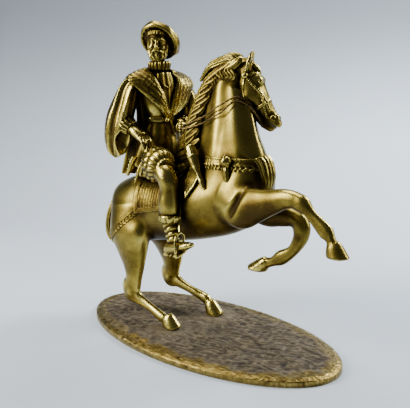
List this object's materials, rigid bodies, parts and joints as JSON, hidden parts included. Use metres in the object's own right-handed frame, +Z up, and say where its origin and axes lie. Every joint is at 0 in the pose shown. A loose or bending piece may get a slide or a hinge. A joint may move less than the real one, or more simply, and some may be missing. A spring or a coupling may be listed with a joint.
{
  "type": "equestrian statuette",
  "caption": "Bronze statuette of a rider in a flat cap and fur-collared coat on a rearing, harnessed horse, on an oval plinth of rough ground; stands as a shelf or table ornament",
  "frame": {"origin": "centre of the plinth's flat underside", "axes": "+Z up, +X the way the horse faces, +Y the horse's left"},
  "size_m": [0.5207, 0.246, 0.5006],
  "materials": {
    "gilt_bronze": "polished high points over a dark brown patina in the hollows",
    "plinth_bronze": "matt grey-brown patina on top, rubbed gilt rim",
    "rein_brass": "dark patinated wire"
  },
  "bodies": {
    "root": {"plinth": "plinth_bronze", "horse_and_rider": "gilt_bronze", "reins": "rein_brass"}
  },
  "joints": []
}
